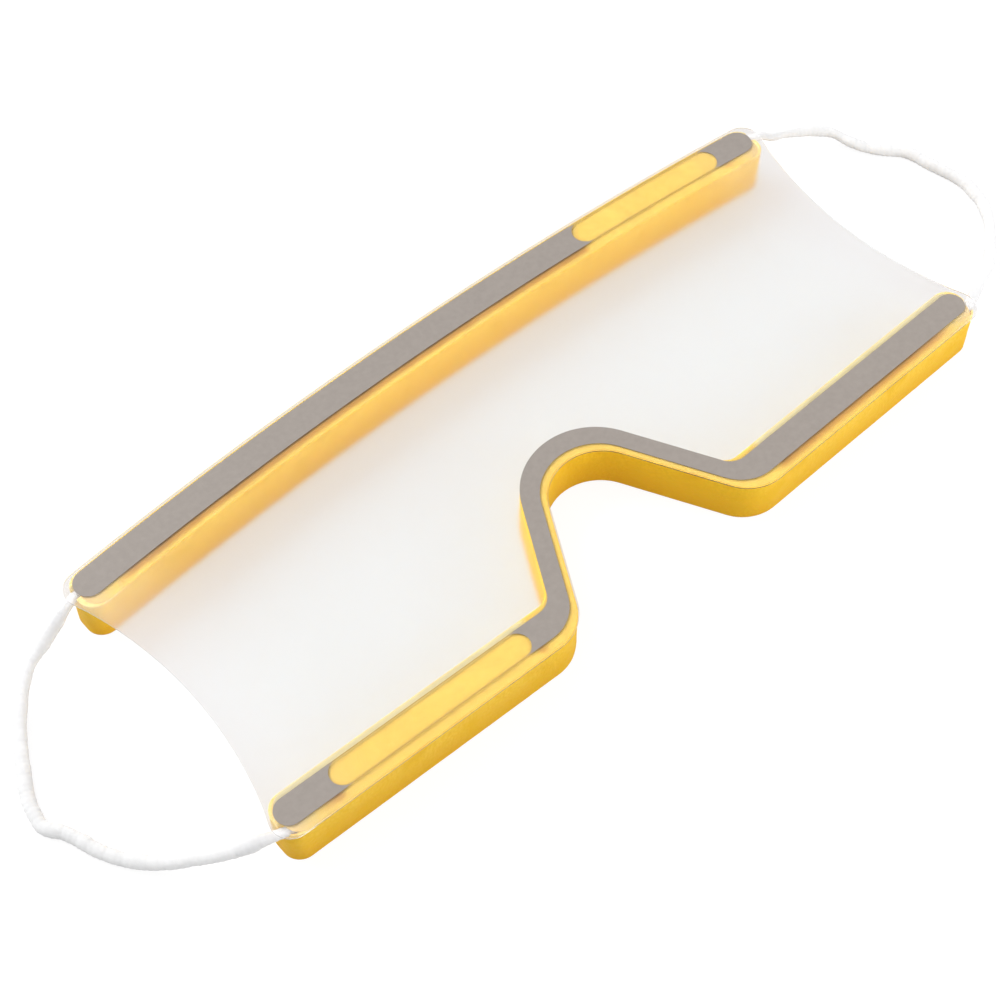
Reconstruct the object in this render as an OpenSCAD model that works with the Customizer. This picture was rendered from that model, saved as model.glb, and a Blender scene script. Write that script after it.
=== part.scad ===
// Disposable safety glasses: a clear lens film stuck to a brow foam strip and a cheek foam strip,
// printed bands over both strips, and an elastic ear loop at each end.
// X runs along the glasses, +Y points to the brow, and +Z points out of the front of the lens.
// The glasses lie on the skin side of their foam at Z = 0. Left and right are as seen from the front.

/* [Lens film] */
// Height of the film from the top of the brow edge to the lowest cheek edge
lens_h = 73.8; // [68:0.2:82]
// How far the hollow ends cut in past the foam's ends at the waist, where they come closest
waist_in = 4.1; // [2.4:0.1:8.2]
// Height of the waist above the middle of the film
waist_y = -1.6; // [-4:0.1:4]
// Radius of the hollow ends
end_r = 84; // [75:1:120]
// Radius of the two brow corners
brow_corner_r = 4; // [2:0.25:5]
// Radius of the two cheek corners
cheek_corner_r = 4; // [2.5:0.25:5]
// Thickness of the film
film_t = 0.25; // [0.15:0.05:0.5]
// Radius of the gently arched brow edge
brow_r = 855; // [600:5:1400]

/* [Nose and cheeks] */
// Distance between the two lowest points of the cheek edge, either side of the nose
knee_span = 54.8; // [48:0.2:60]
// Radius of those two rounded low points
knee_r = 9.2; // [7:0.1:11]
// Steepness of the sides of the nose notch, in degrees
flank_angle = 61.5; // [56:0.5:64]
// Radius of the nose notch at its top
nose_r = 10.4; // [8:0.1:12]
// Rise of the cheek edge towards the ears, in degrees
leg_rise = 1.75; // [0:0.25:4]

/* [Foam] */
// Thickness of the foam, from skin to film
foam_t = 10; // [6:0.5:14]
// Width of the foam strips along the brow and the cheeks
foam_w = 8.9; // [7:0.1:11]
// Length of both foam strips
foam_l = 172.6; // [166:0.2:184]
// Corner radius at the ends of the strips
foam_end_r = 3.5; // [2:0.1:4]
// Width of the cheek strip where it passes over the nose
bridge_w = 5; // [4.5:0.1:7]
// Radius of the lens-side edge of the cheek strip over the nose
bridge_r = 15.2; // [12:0.1:17]
// Radius of the lens-side edge of the cheek strip at the knees
inner_knee_r = 3.5; // [2:0.1:6]
// How far the film's edge stands out past the foam
film_over = 0.2; // [0.05:0.05:0.6]

/* [Adhesive tape] */
// Thickness of the double-sided tape between foam and film
tape_t = 0.1; // [0.05:0.05:0.3]
// How far the tape stays inside the sides of the foam
tape_inset = 0.2; // [0.1:0.1:0.8]
// How far the tape stays short of the foam's ends
tape_end_inset = 1; // [0.8:0.1:4]

/* [Print] */
// Thickness of the ink
ink_t = 0.05; // [0.03:0.01:0.1]
// How far the brow band stops short of the foam's ends
brow_band_inset = 0.7; // [0.3:0.1:6]
// How far the cheek band stops short of the foam's ends
cheek_band_inset = 0.5; // [0.3:0.1:6]
// Width of the brow band
brow_band_w = 6; // [4:0.1:6.8]
// Clear margin between the brow edge of the film and the brow band
brow_margin = 0.7; // [0.4:0.1:1.4]
// Width of the cheek band along the cheeks
cheek_band_w = 5.5; // [3.5:0.1:6.2]
// Clear margin between the cheek edge of the film and the cheek band
cheek_margin = 2.4; // [1.2:0.1:2.8]
// Width of the cheek band over the nose
nose_band_w = 3.6; // [2.5:0.1:3.8]
// Clear margin between the edge of the nose notch and the cheek band
nose_margin = 1.4; // [1:0.1:1.6]
// Radius of the band's notch-side edge over the nose
band_nose_r = 11.3; // [10:0.1:13]
// Radius of the band's lens-side edge over the nose
band_bridge_r = 14.5; // [12:0.1:16]
// Radius of the band's notch-side edge at the knees
band_knee_r = 8.5; // [6:0.1:10]
// Radius of the band's lens-side edge at the knees
band_inner_knee_r = 4.1; // [2:0.1:6]
// Width of the hairlines that close the long sides of the unprinted windows
hairline_w = 0.22; // [0.15:0.01:0.4]
// Start of the brow window, from the middle of the glasses towards the right
brow_window_start = 38.8; // [30:0.2:44]
// Length of the brow window
brow_window_l = 37.4; // [20:0.2:38]
// Start of the cheek window, from the middle of the glasses towards the left
cheek_window_start = 30.8; // [30.5:0.1:36]
// Length of the cheek window
cheek_window_l = 43.5; // [20:0.5:45]

/* [Ear elastic] */
// Thickness of the elastic
cord_d = 2.4; // [1.8:0.1:3]
// How far outside the middle of its foam strip the elastic leaves the glasses
exit_bias = 0.5; // [0:0.1:0.8]
// How far the held ends reach in between foam and film, from the foam's end
held_in = 9.2; // [5:0.2:13]
// Foam left between the tip of a slanting held end and the outer side of its strip
tip_wall = 0.3; // [0.2:0.05:1.2]
// Gap between a held end and the groove that it has pressed into the foam
seat_gap = 0.05; // [0.02:0.01:0.1]
// Free room between a swinging loop and what it swings past
swing_gap = 0.3; // [0.2:0.05:0.5]
// Gap between a loop's end and the rounded tip of its held end
tip_gap = 0.1; // [0.05:0.01:0.2]

/* [Hidden] */

// Smoothness: degrees per facet of a small corner, steps of a half-round end, points along a long edge,
// facets of a round cord and sides of a free loop
corner_step = 4;
cap_steps = 18;
edge_points = 24;
cord_fn = 48;
tube_sides = 8;

// Levels of the layers, from the skin side up
tape_z = foam_t;
film_z = tape_z + tape_t;
ink_z = film_z + film_t;

// The brow edge is one circle about a point far below the glasses
brow_c = [0, lens_h/2 - brow_r];

// The cheek edge: two knee circles, a straight cheek line outside each, and a straight flank inside each
knee_c = [knee_span/2, knee_r - lens_h/2];
cheek_touch = knee_c + knee_r*[sin(leg_rise), -cos(leg_rise)];
flank_touch = knee_c - knee_r*[sin(flank_angle), cos(flank_angle)];
cheek_y0 = cheek_touch[1] - tan(leg_rise)*cheek_touch[0];
flank_y0 = flank_touch[1] + tan(flank_angle)*flank_touch[0];

// Offsets from the film's cheek edge, given as [over the nose, along the cheeks]
film_edge = [0, 0];
foam_outer = [film_over, film_over];
foam_inner = [film_over + bridge_w, film_over + foam_w];
band_outer = [nose_margin, cheek_margin];
band_inner = [nose_margin + nose_band_w, cheek_margin + cheek_band_w];

function unit(v) = v/norm(v);
function flipped(v) = [for (i = [len(v) - 1 : -1 : 0]) v[i]];
function flat(v) = [v[0], v[1]];
function turn(a) = a > 180 ? a - 360 : a < -180 ? a + 360 : a;

// Points of the corner at v, between its neighbours a and b, rounded to radius r
function corner(a, v, b, r) =
    r <= 0 ? [v] :
    let (u = unit(a - v),
         w = unit(b - v),
         half = acos(u*w)/2,
         c = v + unit(u + w)*r/sin(half),
         from = v + u*r/tan(half) - c,
         to = v + w*r/tan(half) - c,
         start = atan2(from[1], from[0]),
         sweep = turn(atan2(to[1], to[0]) - start),
         steps = max(2, ceil(abs(sweep)/corner_step)))
    [for (k = [0 : steps]) c + r*[cos(start + sweep*k/steps), sin(start + sweep*k/steps)]];

// Outline through vertices [x, y, corner radius]
function rounded(vs) =
    let (n = len(vs))
    [for (i = [0 : n - 1]) each corner(flat(vs[(i + n - 1) % n]), flat(vs[i]), flat(vs[(i + 1) % n]), vs[i][2])];

// Where two circles meet, on the left of the way from the first centre to the second when side is 1
function circles_meet(c1, r1, c2, r2, side) =
    let (d = norm(c2 - c1),
         along = (r1*r1 - r2*r2 + d*d)/(2*d),
         e = (c2 - c1)/d)
    c1 + along*e + side*sqrt(r1*r1 - along*along)*[-e[1], e[0]];

// Where the line through p along the unit vector e first meets a circle
function line_meets_circle(p, e, c, r) =
    let (w = p - c,
         b = w*e)
    p + e*(-b - sqrt(b*b - w*w + r*r));

// Point on a line that runs depth inside the brow edge, at the angle a from the middle
function brow_point(depth, a) = brow_c + (brow_r - depth)*[sin(a), cos(a)];
function brow_angle(depth, x) = asin(x/(brow_r - depth));

// Vertices from left to right along the line depth inside the brow edge, out to x_end
function brow_line(depth, x_end, end_radius) =
    let (a = brow_angle(depth, x_end))
    [for (k = [0 : edge_points]) [each brow_point(depth, a*(2*k/edge_points - 1)),
                                  k == 0 || k == edge_points ? end_radius : 0]];

// Height at x of a line that runs an offset inside the straight part of the cheek edge
function cheek_y(offset, x) = cheek_y0 + offset/cos(leg_rise) + tan(leg_rise)*abs(x);

// Vertices from left to right along a line inside the cheek edge: end, knee, nose, knee, end
function cheek_line(offsets, nose_radius, knee_radius, x_end, end_radius) =
    let (top = flank_y0 + offsets[0]/cos(flank_angle),
         knee_x = (top - cheek_y(offsets[1], 0))/(tan(flank_angle) + tan(leg_rise)),
         knee = [knee_x, cheek_y(offsets[1], knee_x)],
         end = [x_end, cheek_y(offsets[1], x_end)])
    [[-end[0], end[1], end_radius],
     [-knee[0], knee[1], knee_radius],
     [0, top, nose_radius],
     [knee[0], knee[1], knee_radius],
     [end[0], end[1], end_radius]];

// Half circle from the direction a, turning clockwise
function cap(c, r, a) =
    [for (k = [0 : cap_steps])
        let (b = a - 180*k/cap_steps)
        [each c + r*[cos(b), sin(b)], 0]];

// The film's outline: brow edge, hollow right end, cheek edge, hollow left end
end_c = [foam_l/2 - waist_in + end_r, waist_y];
brow_tip = circles_meet(brow_c, brow_r, end_c, end_r, 1);
cheek_tip = line_meets_circle([0, cheek_y0], [cos(leg_rise), sin(leg_rise)], end_c, end_r);
brow_tip_a = atan2(brow_tip[1] - end_c[1], end_c[0] - brow_tip[0]);
cheek_tip_a = atan2(cheek_tip[1] - end_c[1], end_c[0] - cheek_tip[0]);

// Degrees by which the hollow arc stops short of both tips, so that the corner roundings have room
tip_trim = 6;

function hollow_end(side) =
    [for (k = [0 : edge_points])
        let (a = brow_tip_a - tip_trim + (cheek_tip_a - brow_tip_a + 2*tip_trim)*k/edge_points)
        [side*(end_c[0] - end_r*cos(a)), end_c[1] + end_r*sin(a), 0]];

film_outline = rounded(concat(brow_line(0, brow_tip[0], brow_corner_r),
                              hollow_end(1),
                              flipped(cheek_line(film_edge, nose_r, knee_r, cheek_tip[0], cheek_corner_r)),
                              flipped(hollow_end(-1))));

// The brow strip, drawn in along its sides by the inset
function brow_strip(inset, x_end, end_radius) =
    rounded(concat(brow_line(film_over + inset, x_end, end_radius),
                   flipped(brow_line(film_over + foam_w - inset, x_end, end_radius))));

// The cheek strip, drawn in all round by the inset
function cheek_strip(inset, x_end, end_radius) =
    let (outer = foam_outer + [inset, inset],
         inner = foam_inner - [inset, inset])
    rounded(concat(flipped(cheek_line(outer, nose_r + outer[0], knee_r - outer[1], x_end, end_radius)),
                   cheek_line(inner, bridge_r - inset, inner_knee_r + inset, x_end, end_radius)));

// A band along the brow between two depths and two angles, with half-round ends
function brow_band(near, far, a_left, a_right) =
    let (mid = (near + far)/2,
         r = (far - near)/2,
         step = (a_right - a_left)/edge_points)
    concat([for (k = [0 : edge_points]) brow_point(near, a_left + step*k)],
           [for (p = cap(brow_point(mid, a_right), r, 90 - a_right)) flat(p)],
           [for (k = [edge_points : -1 : 0]) brow_point(far, a_left + step*k)],
           [for (p = cap(brow_point(mid, a_left), r, -90 - a_left)) flat(p)]);

// The band along the cheeks and over the nose, with half-round ends
function cheek_band(outer, inner, x_end) =
    let (r = (inner[1] - outer[1])/2,
         lean = r*sin(leg_rise),
         x_mid = x_end - r,
         y_mid = cheek_y((inner[1] + outer[1])/2, x_mid))
    rounded(concat(cheek_line(inner, band_bridge_r, band_inner_knee_r, x_mid - lean, 0),
                   cap([x_mid, y_mid], r, 90 + leg_rise),
                   flipped(cheek_line(outer, band_nose_r, band_knee_r, x_mid + lean, 0)),
                   cap([-x_mid, y_mid], r, -90 - leg_rise)));

// A straight slot with half-round ends about p and q
function slot(p, q, r) =
    let (a = atan2(q[1] - p[1], q[0] - p[0]))
    [for (v = concat(cap(q, r, a + 90), cap(p, r, a - 90))) flat(v)];

// The ear elastic: where it turns at the film's corners, seen at the right end
cord_r = cord_d/2;
film_reach = max([for (p = film_outline) p[0]]);
hinge_x = max(film_reach, foam_l/2) + cord_r + swing_gap;
cord_z = foam_t - cord_r;
exit_depth = film_over + foam_w/2 - exit_bias;
exit_a = brow_angle(exit_depth, hinge_x);
brow_turn = [hinge_x, brow_point(exit_depth, exit_a)[1], cord_z];
cheek_turn = [hinge_x, cheek_y(exit_depth, hinge_x), cord_z];

// How far the held ends slant outwards, and so their directions in degrees from the way inwards along X
held_l = hinge_x - foam_l/2 + held_in;
tip_depth = film_over + tip_wall + seat_gap + cord_r;
held_angle = asin((exit_depth - tip_depth)/held_l);
brow_held = -exit_a - held_angle;
cheek_held = leg_rise + held_angle;

function to_left(p) = [-p[0], p[1], p[2]];

// The routes of the two free loops, from the brow corner round to the cheek corner.
// They droop from the film's level and lie on the surface for their outer half.
left_route = [to_left(brow_turn), [-93.5, 26.5, 7.6], [-98.5, 24.6, 5.4], [-103, 22, 3.4], [-106.5, 18, 2.1],
              [-109.5, 13.6, 1.4], [-112, 9, 1.2], [-114, 4, 1.2], [-114.6, -0.8, 1.2], [-113, -5.4, 1.2],
              [-110.6, -10, 1.2], [-107.6, -14.6, 1.3], [-104, -19, 2], [-99.5, -23.2, 3.6], [-94.5, -27.4, 6.4],
              to_left(cheek_turn)];
right_route = [brow_turn, [93.5, 26.6, 7.6], [98.5, 25.2, 5.4], [103, 22.8, 3.4], [106.3, 19.2, 2.2],
               [109.2, 15.4, 1.5], [112.4, 11.6, 1.2], [115, 7, 1.2], [116.5, 1.6, 1.2], [117.4, -4, 1.2],
               [117, -9.4, 1.2], [114.8, -14, 1.2], [111, -18, 1.3], [106.4, -21.6, 2.2], [101.2, -25, 4],
               [95.4, -28, 6.6], cheek_turn];

// The route with its ends drawn back from the rounded tips of the held ends
function drawn_back(route) =
    let (n = len(route),
         back = cord_r + tip_gap)
    [for (i = [0 : n - 1])
        i == 0 ? route[0] + back*unit(route[1] - route[0]) :
        i == n - 1 ? route[i] + back*unit(route[i - 1] - route[i]) :
        route[i]];

// One ring of a tube round the point i of its path, square to the way the path runs there
function tube_ring(path, i) =
    let (along = unit(path[min(i + 1, len(path) - 1)] - path[max(i - 1, 0)]),
         side = unit(cross([0, 0, 1], along)),
         up = cross(along, side))
    [for (k = [0 : tube_sides - 1])
        path[i] + cord_r*(cos(k*360/tube_sides)*side + sin(k*360/tube_sides)*up)];

function tube_faces(rings) =
    let (s = tube_sides,
         last = (rings - 1)*s)
    concat([for (i = [0 : rings - 2]) for (k = [0 : s - 1])
               let (a = i*s + k, b = i*s + (k + 1) % s)
               each [[a, b, b + s], [a, b + s, a + s]]],
           [for (k = [1 : s - 2]) [0, k + 1, k]],
           [for (k = [1 : s - 2]) [last, last + k, last + k + 1]]);

// What the right end has, and its mirror image at the left end
module both_ends() {
    children();
    mirror([1, 0, 0])
        children();
}

module layer(outline, z, t) {
    translate([0, 0, z])
        linear_extrude(t)
            polygon(outline);
}

// An end of the elastic that is held between foam and film, at the right end.
// It is rounded about its turning point, and its direction is in degrees from -X.
module held_end(turning, direction) {
    translate(turning)
        rotate([0, -90, direction])
            rotate_extrude($fn = cord_fn) {
                intersection() {
                    circle(r = cord_r, $fn = cord_fn);
                    translate([0, -cord_r])
                        square(cord_r);
                }
                square([cord_r, held_l]);
            }
}

// The groove that such an end has pressed into the foam, open towards the film
module held_groove(turning, direction) {
    r = cord_r + seat_gap;
    translate(turning)
        rotate([0, 0, direction + 180]) {
            rotate([0, 90, 0])
                cylinder(h = held_l + seat_gap, r = r, $fn = cord_fn);
            translate([0, -r, 0])
                cube([held_l + seat_gap, 2*r, cord_d]);
        }
}

module tube(route) {
    path = drawn_back(route);
    polyhedron(points = [for (i = [0 : len(path) - 1]) each tube_ring(path, i)],
               faces = tube_faces(len(path)));
}

module lens_film() {
    color([0.93, 0.94, 0.95, 0.35])
        layer(film_outline, film_z, film_t);
}

module brow_foam() {
    color([0.93, 0.70, 0.13])
        difference() {
            layer(brow_strip(0, foam_l/2, foam_end_r), 0, foam_t);
            both_ends()
                held_groove(brow_turn, brow_held);
        }
}

module cheek_foam() {
    color([0.93, 0.70, 0.13])
        difference() {
            layer(cheek_strip(0, foam_l/2, foam_end_r), 0, foam_t);
            both_ends()
                held_groove(cheek_turn, cheek_held);
        }
}

module brow_tape() {
    color([0.92, 0.88, 0.70])
        layer(brow_strip(tape_inset, foam_l/2 - tape_end_inset, foam_end_r - tape_inset), tape_z, tape_t);
}

module cheek_tape() {
    color([0.92, 0.88, 0.70])
        layer(cheek_strip(tape_inset, foam_l/2 - tape_end_inset, foam_end_r - tape_inset), tape_z, tape_t);
}

module brow_print() {
    near = brow_margin;
    far = brow_margin + brow_band_w;
    mid = (near + far)/2;
    end_a = brow_angle(mid, foam_l/2 - brow_band_inset - brow_band_w/2);
    window_r = brow_band_w/2 - hairline_w;
    color([0.64, 0.60, 0.57])
        translate([0, 0, ink_z])
            linear_extrude(ink_t)
                difference() {
                    polygon(brow_band(near, far, -end_a, end_a));
                    polygon(brow_band(near + hairline_w, far - hairline_w,
                                      brow_angle(mid, brow_window_start + window_r),
                                      brow_angle(mid, brow_window_start + brow_window_l - window_r)));
                }
}

module cheek_print() {
    mid = (band_outer[1] + band_inner[1])/2;
    window_r = cheek_band_w/2 - hairline_w;
    first_x = cheek_window_start + window_r;
    last_x = cheek_window_start + cheek_window_l - window_r;
    color([0.64, 0.60, 0.57])
        translate([0, 0, ink_z])
            linear_extrude(ink_t)
                difference() {
                    polygon(cheek_band(band_outer, band_inner, foam_l/2 - cheek_band_inset));
                    polygon(slot([-last_x, cheek_y(mid, last_x)], [-first_x, cheek_y(mid, first_x)], window_r));
                }
}

module left_brow_cord_end() {
    color("white")
        mirror([1, 0, 0])
            held_end(brow_turn, brow_held);
}

module left_cheek_cord_end() {
    color("white")
        mirror([1, 0, 0])
            held_end(cheek_turn, cheek_held);
}

module right_brow_cord_end() {
    color("white")
        held_end(brow_turn, brow_held);
}

module right_cheek_cord_end() {
    color("white")
        held_end(cheek_turn, cheek_held);
}

module left_ear_elastic() {
    color("white")
        tube(left_route);
}

module right_ear_elastic() {
    color("white")
        tube(right_route);
}

lens_film();
brow_foam();
cheek_foam();
brow_tape();
cheek_tape();
brow_print();
cheek_print();
left_brow_cord_end();
left_cheek_cord_end();
right_brow_cord_end();
right_cheek_cord_end();
left_ear_elastic();
right_ear_elastic();
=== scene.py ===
"""Disposable safety glasses, dressed for a studio picture.

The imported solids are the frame. The film, its tape and its printed bands keep their solids and get
their finishes here. The two foam strips and the two ear elastics are made here in full and stand
for their solids. X runs along the glasses, +Y points to the brow, +Z out of the front of the film.
All sizes are in metres.
"""

import math

import bpy
import numpy as np
from bpy.props import FloatProperty, FloatVectorProperty, PointerProperty
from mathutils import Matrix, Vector, geometry, noise


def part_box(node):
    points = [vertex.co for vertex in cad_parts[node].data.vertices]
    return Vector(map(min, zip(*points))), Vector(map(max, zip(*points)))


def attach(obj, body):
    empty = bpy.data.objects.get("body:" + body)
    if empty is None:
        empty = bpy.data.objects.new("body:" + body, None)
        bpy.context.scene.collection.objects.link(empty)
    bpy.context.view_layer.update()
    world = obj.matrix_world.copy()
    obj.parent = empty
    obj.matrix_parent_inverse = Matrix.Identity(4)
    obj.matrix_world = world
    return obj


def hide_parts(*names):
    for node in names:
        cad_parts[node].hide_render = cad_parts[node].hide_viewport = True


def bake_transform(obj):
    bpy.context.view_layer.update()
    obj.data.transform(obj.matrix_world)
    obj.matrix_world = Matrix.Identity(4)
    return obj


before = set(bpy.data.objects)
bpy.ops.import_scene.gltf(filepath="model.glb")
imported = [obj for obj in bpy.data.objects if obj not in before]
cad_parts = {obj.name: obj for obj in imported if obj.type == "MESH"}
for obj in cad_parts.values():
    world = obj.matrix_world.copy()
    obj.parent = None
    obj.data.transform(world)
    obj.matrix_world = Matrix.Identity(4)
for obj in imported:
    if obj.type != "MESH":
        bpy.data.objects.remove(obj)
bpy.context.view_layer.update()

bl_info = {
    "name": "Disposable Safety Glasses",
    "version": (1, 0, 0),
    "blender": (4, 5, 0),
    "location": "3D View > Sidebar > Glasses",
    "description": "Foam strips, ear elastics, clear film and printed bands of safety glasses",
    "category": "Object",
}

FOAM_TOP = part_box("brow_foam")[1].z

# The brow's outer edge on the middle line, and its radius
BROW_EDGE = 0.0369
BROW_RADIUS = 0.855

# Slope of the cheek strip's legs, and where the lower edge of their band and their lens side,
# carried on in a straight line, would cross the middle
LEG_SLOPE = math.tan(math.radians(1.75))
LEG_BAND_EDGE = -0.0354
LEG_LENS_SIDE = -0.02954

# Middle and half length of the two unprinted windows, at the brow and at the cheek, along X
BARE_WINDOWS = ((0.0575, 0.0195), (-0.0525, 0.0225))

# Where finishes change along the glasses, as X at either side: the painted bounce light over the
# nose fades, the legs of the cheek strip begin, the film turns milky, the painted shadow below the
# bands fades, the painted lightening at the tips of foam and tape begins
NOSE_BOUNCE_ENDS = (0.018, 0.034)
LEGS_BEGIN = (0.028, 0.031)
FILM_TURNS_MILKY = (0.062, 0.086)
PAINTED_SHADOW_ENDS = (0.074, 0.081)
FOAM_LIT_TIPS_BEGIN = (0.076, 0.082)
TAPE_LIT_TIPS_BEGIN = (0.0785, 0.0845)

# Along the lower edges of the bands a painted shadow of the print darkens the tape: where that
# begins and ends across the brow band, outwards from the brow's curve, and across the legs' bands,
# upwards from their lower edge
BROW_PAINTED_SHADOW = ((-0.0087, -0.0075), (-0.005, -0.003))
LEG_PAINTED_SHADOW = ((-0.002, -0.0005), (0.001, 0.003))

# The film's edge has no foam below it in the hollow ends, beyond an X and inside a Y, and at the
# corners, beyond another X
HOLLOW_X, HOLLOW_Y = 0.06, 0.0335
CORNER_X = 0.0815

# How far down the foam's upper side gets the painted lightening at the tips, and how wide the soft
# lower edge of the painted pale veil along the lens is
LIT_TIP_DEPTH = 0.0004
PAINTED_VEIL_EDGE = 0.0008

# Where the elastics turn at the right end, at the brow corner and at the cheek corner, and where
# the painted shade on their held ends fades, as X at either side
BROW_TURN = (0.08922, 0.02806, 0.0088)
CHEEK_TURN = (0.08922, -0.03086, 0.0088)
HELD_SHADE_ENDS = (0.08862, 0.09672)

# The held ends at the right, from the turning points inwards, pressed flat between foam and film
HELD_BROW = [(0.087, 0.0288, 0.0091), (0.0842, 0.0296, 0.0092), (0.0805, 0.0305, 0.0092),
             (0.0776, 0.0312, 0.0092)]
HELD_CHEEK = [(0.0869, -0.0318, 0.0091), (0.084, -0.0328, 0.0092), (0.0805, -0.0334, 0.0092),
              (0.0776, -0.0337, 0.0092)]

# The free loops, from the brow corner round to the cheek corner
LEFT_LOOP = [(-0.0931, 0.0271, 0.0072), (-0.0955, 0.0265, 0.006), (-0.0977, 0.0261, 0.0049),
             (-0.0997, 0.0253, 0.0039), (-0.1014, 0.0241, 0.0031), (-0.1031, 0.0226, 0.0025),
             (-0.1048, 0.0207, 0.002), (-0.1066, 0.0183, 0.0016), (-0.1083, 0.0157, 0.0014),
             (-0.1099, 0.013, 0.0013), (-0.1114, 0.0103, 0.0012), (-0.1128, 0.0074, 0.0012),
             (-0.1139, 0.0046, 0.0012), (-0.1145, 0.0019, 0.0012), (-0.1147, -0.0005, 0.0012),
             (-0.114, -0.0022, 0.0012), (-0.1129, -0.0036, 0.0012), (-0.1119, -0.0054, 0.0012),
             (-0.1109, -0.0077, 0.0012), (-0.1101, -0.01, 0.0012), (-0.1089, -0.0125, 0.0012),
             (-0.1074, -0.0153, 0.0013), (-0.1056, -0.0175, 0.0016), (-0.1036, -0.0197, 0.0021),
             (-0.1014, -0.0218, 0.0028), (-0.0992, -0.0235, 0.0036), (-0.097, -0.0255, 0.0047),
             (-0.0946, -0.0274, 0.006), (-0.0923, -0.029, 0.0072)]
RIGHT_LOOP = [(0.0915, 0.0276, 0.0074), (0.0946, 0.0274, 0.0062), (0.0976, 0.0268, 0.0052),
              (0.1014, 0.0256, 0.0041), (0.1046, 0.0239, 0.0032), (0.1062, 0.0221, 0.0027),
              (0.1077, 0.0188, 0.002), (0.1091, 0.0163, 0.0016), (0.1108, 0.0139, 0.0014),
              (0.1127, 0.0117, 0.0013), (0.1147, 0.0094, 0.0012), (0.1158, 0.006, 0.0012),
              (0.1164, 0.0023, 0.0012), (0.1172, -0.0013, 0.0012), (0.1178, -0.0047, 0.0012),
              (0.1175, -0.008, 0.0012), (0.1166, -0.0112, 0.0012), (0.1148, -0.0143, 0.0012),
              (0.1117, -0.0179, 0.0012), (0.1081, -0.0211, 0.0012), (0.1044, -0.0237, 0.0015),
              (0.1003, -0.0257, 0.0026), (0.0956, -0.0278, 0.005)]

# Height of the loops' points where they lie flat, and the height from which on a loop hangs free
LYING_Z = 0.0012
HANGING_Z = 0.004

# Distance between the rings of an elastic, points on each ring, and strands of the braid
RING_STEP = 0.0002
RING_POINTS = 24
STRANDS = 4

# An elastic's ends close over this share of their half height, down to this share of a ring's
# area, and then in a point this far out
END_ROUNDING = 0.6
END_AREA = 0.05
END_POINT = 0.0001

# Room that the elastics leave above the floor, and the foam below the tape
FLOOR_GAP = 0.00002
TAPE_GAP = 0.00002

# Lengths along X from the turning point: where an elastic begins to swell, over what length it
# does, how long the held taper is, and how long the right elastic's thin start is
SWELL_START = -0.0012
SWELL_LENGTH = 0.0035
HELD_TAPER_LENGTH = 0.010
THIN_START_LENGTH = 0.013

# Seed and pitch of an elastic's slow and quick unevenness, of its twist and of its sway, and from
# where past the turning point it sways how far
SLOW, QUICK, TWIST, SWAY = (3, 0.0042), (8, 0.0016), (20, 0.013), (31, 0.0035)
SWAY_START = 0.004
SWAY_REACH = 0.00012

# The grooves in the foam: how much wider and deeper they are than the pressed elastics, from which
# X on they are sought, and how steeply they fade towards the foot
GROOVE_WIDTH = 1.12
GROOVE_HEIGHT = 1.08
GROOVES_BEGIN = 0.07
GROOVE_FADE = 5

# Pitches of the cut sides' unevenness, how far from their edges it is at its full depth, and pitch
# and depth of the skin side's unevenness
CUT_WAVES = (0.0031, 0.0012)
CALM_EDGE = 0.0006
SKIN_WAVE = 0.0018
SKIN_DEPTH = 0.00003

# Name, place, size and power setting of each lamp
LAMPS = (("key_lamp", (-0.3, 1.05, 0.8), 0.9, "key"),
         ("right_fill_lamp", (0.19, -0.265, 0.12), 0.16, "fill"),
         ("left_fill_lamp", (-0.25, -0.3, 0.25), 0.3, "left_fill"))


def distance(name, about, default, low, high):
    """A length that the user can change"""
    return FloatProperty(name=name, description=about, default=default, min=low, max=high,
                         unit="LENGTH", subtype="DISTANCE", precision=5)


def share(name, about, default):
    """A share from 0 to 1 that the user can change"""
    return FloatProperty(name=name, description=about, default=default, min=0, max=1,
                         subtype="FACTOR")


def colour(name, about, default):
    """A colour that the user can change"""
    return FloatVectorProperty(name=name, description=about, default=default, min=0, max=1,
                               size=3, subtype="COLOR")


def power(name, about, default, high):
    """The power of a lamp, which the user can change"""
    return FloatProperty(name=name, description=about, default=default, min=0, max=high,
                         unit="POWER")


class ElasticSettings(bpy.types.PropertyGroup):
    """The two ear elastics"""

    width: distance("Width", "Width of the elastic where it is free", 0.0026, 0.0015, 0.004)
    height: distance("Height", "Thickness of the elastic across its width", 0.0021, 0.001, 0.004)
    held_width: distance("Held width", "Width where it is pressed flat under the film",
                         0.0021, 0.0015, 0.005)
    held_height: distance("Held height", "Thickness where it is pressed flat",
                          0.0012, 0.0008, 0.003)
    held_taper: share("Held taper", "How much narrower the held tips are", 0.35)
    braid_pitch: distance("Braid pitch", "Length of one stitch of the braid",
                          0.0011, 0.0005, 0.003)
    braid_depth: distance("Braid depth", "Depth of the braid's relief", 0.00006, 0, 0.0003)
    unevenness: share("Unevenness", "How much the width of the soft cord varies", 0.08)
    left_length: distance("Left length", "Whole length of the left elastic", 0.112, 0.08, 0.2)
    right_length: distance("Right length", "Whole length of the right elastic", 0.118, 0.08, 0.2)
    slack_taper: share("Exit taper", "How much thinner the right elastic is where it leaves the "
                       "brow", 0.4)
    white: colour("White", "Colour of the elastic", (0.79, 0.79, 0.795))
    # Painted shade: the held ends are drawn darker, as if less lit under film and tape
    held_painted_shade: colour("Held white", "Colour of the elastic where it is pressed in",
                       (0.70, 0.70, 0.71))


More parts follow.
